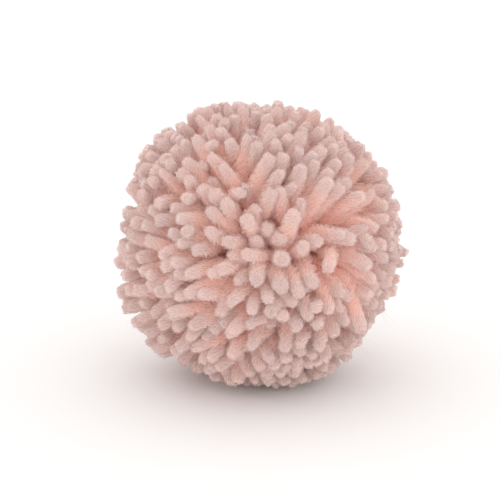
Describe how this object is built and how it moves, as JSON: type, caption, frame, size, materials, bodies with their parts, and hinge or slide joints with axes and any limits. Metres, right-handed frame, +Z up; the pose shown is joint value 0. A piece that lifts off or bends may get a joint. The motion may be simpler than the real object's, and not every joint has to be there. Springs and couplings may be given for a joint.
{
  "type": "pom pom of cut yarn",
  "caption": "Round pom pom of thick, softly spun yarn, its cut strands bound in the middle and trimmed to a ball that rests on a slightly flattened foot.",
  "frame": {"origin": "middle of the flattened foot, on the surface that the pom pom stands on", "axes": "+Z up, out of the surface; -Y towards the viewer of the picture's face; +X to that viewer's right"},
  "size_m": [0.0908, 0.0904, 0.087],
  "materials": {
    "yarn": "matt, fuzzy, pale blush pink wool"
  },
  "bodies": {
    "root": {"pom_pom": "yarn"}
  },
  "joints": []
}
